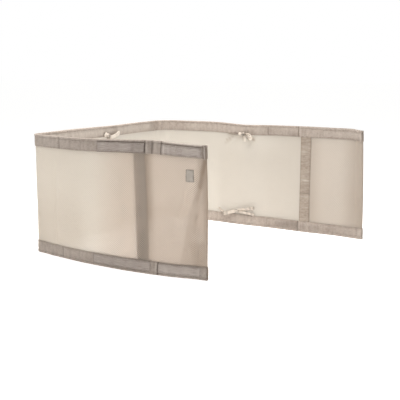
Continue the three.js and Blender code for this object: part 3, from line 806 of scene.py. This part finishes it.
# -------- hook-and-loop tapes
def tape_out(zeta):
    """The tape's face, pressed in along its stitching."""
    inside = np.minimum(zeta - TAPE_LOW, TAPE_HIGH - zeta)
    return TAPE_FACE - 0.3 * bell(inside, TAPE_SEAM, 0.5) - 0.45 * smooth(1.0 - inside / 0.9)


def build_tape(spot, start, stop, top):
    steps = [0.0, 0.3, 0.9, 1.5, 1.9, 2.6, 5.0, 10.2, 15.5, 17.9, 18.6, 19.0, 19.6, 20.2, 20.5]
    levels = TAPE_LOW + np.array(steps)
    face = [(from_rim(zeta, top), tape_out(zeta)) for zeta in levels]
    back = [(from_rim(zeta, top), TAPE_BACK) for zeta in levels[::-2]]

    def puff(s, z, out):
        return np.where(out > TAPE_BACK, 0.12 * value_noise_2d(s / 11.0, z / 6.0, 61), 0.0)

    tape = along_section("cloth_tape_" + spot, start, stop, face + back, TAPE, 1.0, puff)
    return declare(tape, "tape_" + spot)


tapes = [build_tape(*row) for row in TAPES]


# -------- the blank label
def build_label():
    steps = [0.0, 0.2, 0.8, 1.6, 2.4, 5.0, 8.0, 10.0, 12.0, 15.0, 17.6, 18.4, 19.2, 19.8, 20.0]
    s = LABEL_FROM + np.array(steps)[:, None]
    z = np.linspace(LABEL_LOW, LABEL_HIGH, 15)
    inside = np.minimum(s - LABEL_FROM, LABEL_TO - s)
    inside_up = np.minimum(z - LABEL_LOW, LABEL_HIGH - z)
    lift = 0.8 + 0.25 * rise(inside, 1.5, 4.0) - 0.25 * bell(inside, LABEL_SEAM, 0.5)
    lift = lift * (0.5 + 0.5 * smooth(inside_up / 0.8)) * (0.45 + 0.55 * smooth(inside / 0.6))
    grid = np.concatenate([place(s, z, LABEL_BACK + lift), place(s, z[::-1], LABEL_BACK)], axis=1)
    label = loft("blank_label", grid, s, np.concatenate([z, z[::-1] + 40.0, z[:1] + 39.0]), LABEL)
    border = -0.4 * fall(np.minimum(inside, inside_up), 3.2, 1.6)
    border = border + 0.18 * value_noise_2d(s / 3.0, z / 4.0, 81)
    add_tone(label, np.concatenate([border, border[:, ::-1]], axis=1))
    return declare(label, "label")


blank_label = build_label()

# -------- stitching
THREAD_RADIUS, THREAD_SUNK, THREAD_LIFT = 0.32, -0.3, 0.12
STITCH_GAP = 0.9


def stitch_line(s0, z0, s1, z1, pitch):
    """Stitches from one place to another, as (start s, start z, end s, end z) rows."""
    run, climb = s1 - s0, z1 - z0
    count = max(int(round(math.hypot(run, climb) / pitch)), 1)
    start = np.arange(count) / count
    stop = start + (pitch - STITCH_GAP) / pitch / count
    return np.stack([s0 + run * start, z0 + climb * start, s0 + run * stop, z0 + climb * stop], 1)


def thread_points(rows, out_at):
    """Four rings of four points for each stitch that lies on a surface, its ends sunk into it."""
    s0, z0, s1, z1 = rows.T
    reach = np.hypot(s1 - s0, z1 - z0)
    ds, dz = (s1 - s0) / reach, (z1 - z0) / reach
    rings = []
    for t, lift in ((0.0, THREAD_SUNK), (0.25, THREAD_LIFT), (0.75, THREAD_LIFT), (1.0, THREAD_SUNK)):
        s, z = s0 + (s1 - s0) * t, z0 + (z1 - z0) * t
        base = out_at(s, z)
        side = np.sign(base)
        r = THREAD_RADIUS * (0.6 if lift < 0 else 1.0)
        ring = [
            (s - dz * r, z + ds * r, base + side * lift),
            (s, z, base + side * (lift + r)),
            (s + dz * r, z - ds * r, base + side * lift),
            (s, z, base + side * (lift - r)),
        ]
        rings.append([place(*corner) for corner in ring])
    return np.array(rings).transpose(2, 0, 1, 3).reshape(-1, 3)


def sew(name, parts, material):
    """One piece of stitching from several (rows, surface) pairs."""
    points = np.concatenate([thread_points(np.concatenate(rows), out_at) for rows, out_at in parts])
    one_stitch = skin(np.zeros((4, 4, 3)), 0.0, np.zeros((4, 5)))[0]
    faces = [[i + first for i in face] for first in range(0, len(points), 16) for face in one_stitch]
    piece = new_object(name, points, faces, np.zeros((sum(map(len, faces)), 2)), material)
    return piece


def on_hem(top, side):
    return lambda s, z: side * (hem_out(from_rim(z, top)) + turned_at(s))


def on_tape(top):
    return lambda s, z: tape_out(from_rim(z, top)) + turned_at(s)


def on_level(out):
    return lambda s, z: np.full(np.shape(s), out)


def hem_stitching(name, top):
    rows = [stitch_line(3.0, z, LENGTH - 3.0, z, 4.0) for z in (from_rim(27.8, top), from_rim(6.1, top))]
    return sew(name, [(rows, on_hem(top, 1.0)), (rows, on_hem(top, -1.0))], THREAD)


stitching_top = hem_stitching("stitching_top", True)
stitching_foot = hem_stitching("stitching_foot", False)


def tape_stitching():
    """A sewn rectangle round each tape on the outer face, and the same seam on the hem's inner face."""
    parts = []
    for _, start, stop, top in TAPES:
        left, right = start + TAPE_SEAM, stop - TAPE_SEAM
        low, high = from_rim(TAPE_LOW + TAPE_SEAM, top), from_rim(TAPE_HIGH - TAPE_SEAM, top)
        corners = [(left, low), (right, low), (right, high), (left, high)]
        rows = [stitch_line(*a, *b, 3.0) for a, b in zip(corners, corners[1:] + corners[:1])]
        parts += [(rows, on_tape(top)), (rows, on_hem(top, -1.0))]
    return sew("tape_stitching", parts, SHADE_DARKENED_THREAD)


stitched_tapes = tape_stitching()


def band_stitching_rows(start, lean):
    low, high = HEM + 2, HEIGHT - HEM - 2
    foot, head = start + lean * (low - NEAR_BAND_LEVEL), start + lean * (high - NEAR_BAND_LEVEL)
    seams = BAND_SEAM, BAND_TO - BAND_FROM - BAND_SEAM
    return [stitch_line(foot + across, low, head + across, high, 3.5) for across in seams]


band_rows = band_stitching_rows(BAND_FROM, NEAR_BAND_LEAN) + band_stitching_rows(LENGTH - BAND_TO, 0.0)
band_stitching = sew("band_stitching", [(band_rows, on_level(-2.66))], THREAD)
label_seams = LABEL_FROM + LABEL_SEAM, LABEL_TO - LABEL_SEAM
label_rows = [stitch_line(s, LABEL_LOW + 1, s, LABEL_HIGH - 1, 2.6) for s in label_seams]
label_stitching = sew("label_stitching", [(label_rows, on_level(2.2))], THREAD)

# -------- ribbon bows
RIBBON_WIDTH, RIBBON_THICK = 10.0, 0.5
KNOT_LENGTH = 30.0
# Each bow: where it is, its place along, its height and its ribbons. A ribbon is a list of stops: how far
# along the strip, up, and in from the cloth, and the tilt of its width from upright in degrees.
BOWS = {
    "far_top": (1403.0, 272.0, [
        [(0, 0, 5, 60), (-5, 1, 7, 60), (-10, 2, 9, 50), (-12, 0, 7, 50), (-8, -1, 5, 60), (0, 0, 4, 60)],
        [(0, 0, 5, 70), (8, 3, 7, 70), (18, 2, 9, 60), (26, -1, 10, 40), (30, -8, 8, 25), (26, -12, 6, 30),
         (14, -5, 4, 60), (0, 0, 4, 60)],
        [(0, 0, 5, 50), (4, -5, 7, 30), (6, -11, 6, 15), (6, -22, 5, 15)],
        [(0, 0, 4, 60), (9, -3, 5, 70), (18, -10, 5, 65), (22, -17, 4, 65)],
    ]),
    "far_foot": (1380.0, 41.0, [
        [(0, 0, 5, 20), (-12, -3, 8, 10), (-28, -8, 9, 5), (-42, -12, 7, 5), (-47, -12, 5, 0),
         (-38, -10, 4, 0), (-18, -4, 4, 0), (0, 0, 4, 20)],
        [(0, 0, 5, 30), (14, 5, 8, 40), (32, 8, 10, 45), (50, 12, 9, 20), (57, 13, 6, 0), (46, 8, 4, 30),
         (22, 3, 4, 40), (0, 0, 4, 30)],
        [(0, 0, 4, 20), (18, -2, 6, 30), (38, -4, 5, 30), (57, -7, 4, 20)],
        [(0, 0, 4, 40), (-20, -8, 4, 60), (-40, -10, 4, 75), (-54, -4, 5, 80), (-66, 4, 4, 85)],
    ]),
    "side_top": (823.0, 274.0, [
        [(0, 0, 5, 40), (-5, 4, 7, 40), (-11, 4, 8, 30), (-13, 1, 6, 30), (-6, -1, 4, 40), (0, 0, 4, 40)],
        [(0, 0, 5, 30), (12, -5, 7, 0), (28, -2, 9, 0), (45, 4, 8, 0), (48, 2, 6, 0), (28, -5, 5, 0),
         (10, -7, 4, 0), (0, 0, 4, 30)],
        [(0, 0, 5, 80), (2, -10, 6, 85), (4, -20, 5, 80), (5, -31, 4, 75)],
        [(0, 0, 4, 60), (10, -12, 5, 60), (24, -18, 5, 60), (38, -20, 4, 60)],
    ]),
    "side_foot": (823.0, 41.0, [
        [(0, 0, 5, 0), (-12, 3, 8, 0), (-30, 5, 9, 0), (-43, 6, 7, 0), (-45, 3, 5, 0), (-30, 1, 4, 0),
         (-12, -1, 4, 0), (0, 0, 4, 0)],
        [(0, 0, 5, 0), (14, 4, 8, 0), (32, 5, 9, 5), (46, 2, 7, 10), (46, -2, 5, 0), (30, -1, 4, 0),
         (12, -1, 4, 0), (0, 0, 4, 0)],
        [(0, 0, 4, 0), (16, 6, 6, 0), (34, 11, 5, 20), (50, 13, 4, 30)],
        [(0, 0, 4, 0), (-16, 2, 5, 20), (-32, -4, 5, 30), (-44, -14, 4, 30)],
    ]),
}


def curve_through(stops, per_leg=7):
    """A smooth run of rows through the stops."""
    stops = np.asarray(stops, dtype=float)
    padded = np.concatenate([[2 * stops[0] - stops[1]], stops, [2 * stops[-1] - stops[-2]]])
    rows = []
    for i in range(1, len(padded) - 2):
        p0, p1, p2, p3 = padded[i - 1 : i + 3]
        square, cube = 2 * p0 - 5 * p1 + 4 * p2 - p3, 3 * p1 - p0 - 3 * p2 + p3
        for t in np.arange(per_leg) / per_leg:
            rows.append(0.5 * (2 * p1 + (p2 - p0) * t + square * t**2 + cube * t**3))
    rows.append(padded[-2])
    return np.array(rows)


def ribbon_rings(path, ahead, widths):
    """Rings of a thin, slightly hollow ribbon along a path. widths is the way its width points."""
    widths = widths - ahead * (widths * ahead).sum(1)[:, None]
    widths /= np.linalg.norm(widths, axis=1)[:, None]
    normal = np.cross(ahead, widths)
    rings = []
    for side in (1, -1):
        for w in (-0.5, -0.28, 0.0, 0.28, 0.5)[::side]:
            hollow = 0.05 * RIBBON_WIDTH * (4 * w * w - 0.5)
            rings.append(path + widths * (w * RIBBON_WIDTH) + normal * (hollow + side * RIBBON_THICK / 2))
    return np.stack(rings, axis=1)


def build_bow(spot, at, z, ribbons):
    heading = plan_at(np.array([at]))[2][0]
    across = np.array([math.cos(heading), math.sin(heading), 0.0])
    up = np.array([0.0, 0.0, 1.0])
    inward = np.cross(across, up)
    # on the binding, or on the mesh
    origin = place(at, z, -3.2 if z > HEIGHT - HEM else -1.8) / MM
    points, faces, uvs, tones = [], [], [], []
    length = KNOT_LENGTH

    def take(grid, u, v, tone):
        some_faces, some_uvs = skin(grid, u[:, None], v, sum(map(len, points)))
        faces.extend(some_faces)
        uvs.append(some_uvs)
        points.append(grid.reshape(-1, 3) * MM)
        tones.append(np.broadcast_to(tone[:, None], grid.shape[:2]).ravel())

    for stops in ribbons:
        rows = curve_through(stops)
        path = origin + rows[:, :1] * across + rows[:, 1:2] * up + rows[:, 2:3] * inward
        tilt = np.radians(rows[:, 3:4])
        ahead = np.gradient(path, axis=0)
        ahead /= np.linalg.norm(ahead, axis=1)[:, None]
        flat = np.cross(inward, ahead)
        flat /= np.linalg.norm(flat, axis=1)[:, None] + 1e-9
        widths = flat * np.cos(tilt) + inward * np.sin(tilt)
        u = np.concatenate([[0.0], np.cumsum(np.linalg.norm(np.diff(path, axis=0), axis=1))])
        length += u[-1]
        v = np.array([0, 2.2, 5, 7.8, 10, 10.5, 12.7, 15.5, 18.3, 20.5, 21.0])
        # loops come back to the knot, tails don't
        from_knot = np.minimum(u, u[-1] - u) if abs(rows[-1][0]) < 1.0 else u
        # painted light on the top bows' loops and tails and painted shade on the foot bows', away from the
        # knot, and painted shade at the knot itself
        tone = (0.5 if z > HEIGHT / 2 else -0.32) * rise(from_knot, 9.0, 9.0)
        tone = tone + 0.25 * value_noise(u / 3.0, 91) - 0.8 * bell(from_knot, 0.0, 6.0)
        take(ribbon_rings(path, ahead, widths), u, v, tone)
    # the knot: ribbon wrapped round the middle, in a pinched barrel
    wide = np.linspace(-1, 1, 11)
    barrel = []
    for w in wide:
        pinch = math.sqrt(max(1 - (abs(w) ** 2.6) * 0.75, 0.0))
        crease = 0.35 * math.sin(9 * w)
        ring = [
            origin
            + across * (4.6 * w + 0.6 * math.sin(t * 2))
            + up * ((5.2 + crease) * pinch * math.sin(t))
            + inward * (4.6 + (3.9 + crease) * pinch * math.cos(t))
            for t in np.linspace(0, 2 * math.pi, 19)[:-1]
        ]
        barrel.append(ring)
    # painted shade and light in stripes across the knot's creases
    take(np.array(barrel), wide * 5.0, np.arange(19) * 1.6, 0.7 * np.sin(8 * wide) - 0.25)
    bow = new_object("ribbon_" + spot, np.concatenate(points), faces, np.concatenate(uvs), RIBBON)
    add_tone(bow, np.concatenate(tones))
    return declare(bow, "bow_" + spot), length


bows = [build_bow(spot, *row) for spot, row in BOWS.items()]

# -------- camera
CAMERA_AT = (1.2176, -1.7841, 0.468)
CAMERA_TURN, CAMERA_PITCH, CAMERA_LENS = 34.0, 9.15, 74.97
scene = bpy.context.scene
camera = link_object("camera", bpy.data.cameras.new("camera"))
camera.data.lens = CAMERA_LENS
camera.data.sensor_width = 36.0
camera.location = CAMERA_AT
camera.rotation_euler = (math.radians(90.0 - CAMERA_PITCH), 0.0, math.radians(CAMERA_TURN))
scene.camera = camera

# -------- floor and light
FLOOR_SIZE, FLOOR_LEVEL = 40.0, -0.0005
WHITE = (1.0, 1.0, 1.0, 1.0)


def studio_floor(nodes):
    paint = nodes.make("BsdfDiffuse", {"Color": (0.9, 0.9, 0.9, 1.0)})
    return nodes.make("AddShader", {0: paint, 1: nodes.make("Emission", {"Color": WHITE, "Strength": 0.62})})


floor_mesh = bpy.data.meshes.new("floor")
half = FLOOR_SIZE / 2
corners = [(-half, -half, 0), (half, -half, 0), (half, half, 0), (-half, half, 0)]
floor_mesh.from_pydata(corners, [], [(0, 1, 2, 3)])
floor_mesh.materials.append(new_material("studio_floor", studio_floor))
floor = link_object("floor", floor_mesh)
floor.location = (0.0, 0.0, FLOOR_LEVEL)

# The camera sees a white background, and the scene is lit by a dimmer one
world = bpy.data.worlds.new("studio")
world.use_nodes = True
nodes = Nodes(world.node_tree)
sky = nodes.make("Background", {"Color": WHITE, "Strength": 1.0})
dim = nodes.make("Background", {"Color": (1.0, 0.995, 0.985, 1.0), "Strength": 0.42})
nodes.make("OutputWorld", {"Surface": nodes.make("MixShader", {0: nodes.make("LightPath"), 1: dim, 2: sky})})
scene.world = world


def softbox(name, at, towards, wide, high, power, colour):
    light = bpy.data.lights.new(name, "AREA")
    light.shape = "RECTANGLE"
    light.size, light.size_y = wide, high
    light.energy = power
    light.color = colour
    obj = link_object(name, light)
    obj.location = at
    obj.rotation_euler = (Vector(towards) - Vector(at)).to_track_quat("-Z", "Y").to_euler()


softbox("overhead", (-0.3, 0.0, 1.2), (-0.25, 0.0, 0.0), 1.1, 0.5, 22.3, (1.0, 0.98, 0.952))
softbox("side_fill", (1.6, 0.0, 0.9), (0.1, 0.2, 0.15), 0.9, 0.5, 7.0, (1.0, 0.98, 0.95))

scene.view_settings.view_transform = "Standard"
scene.view_settings.look = "None"
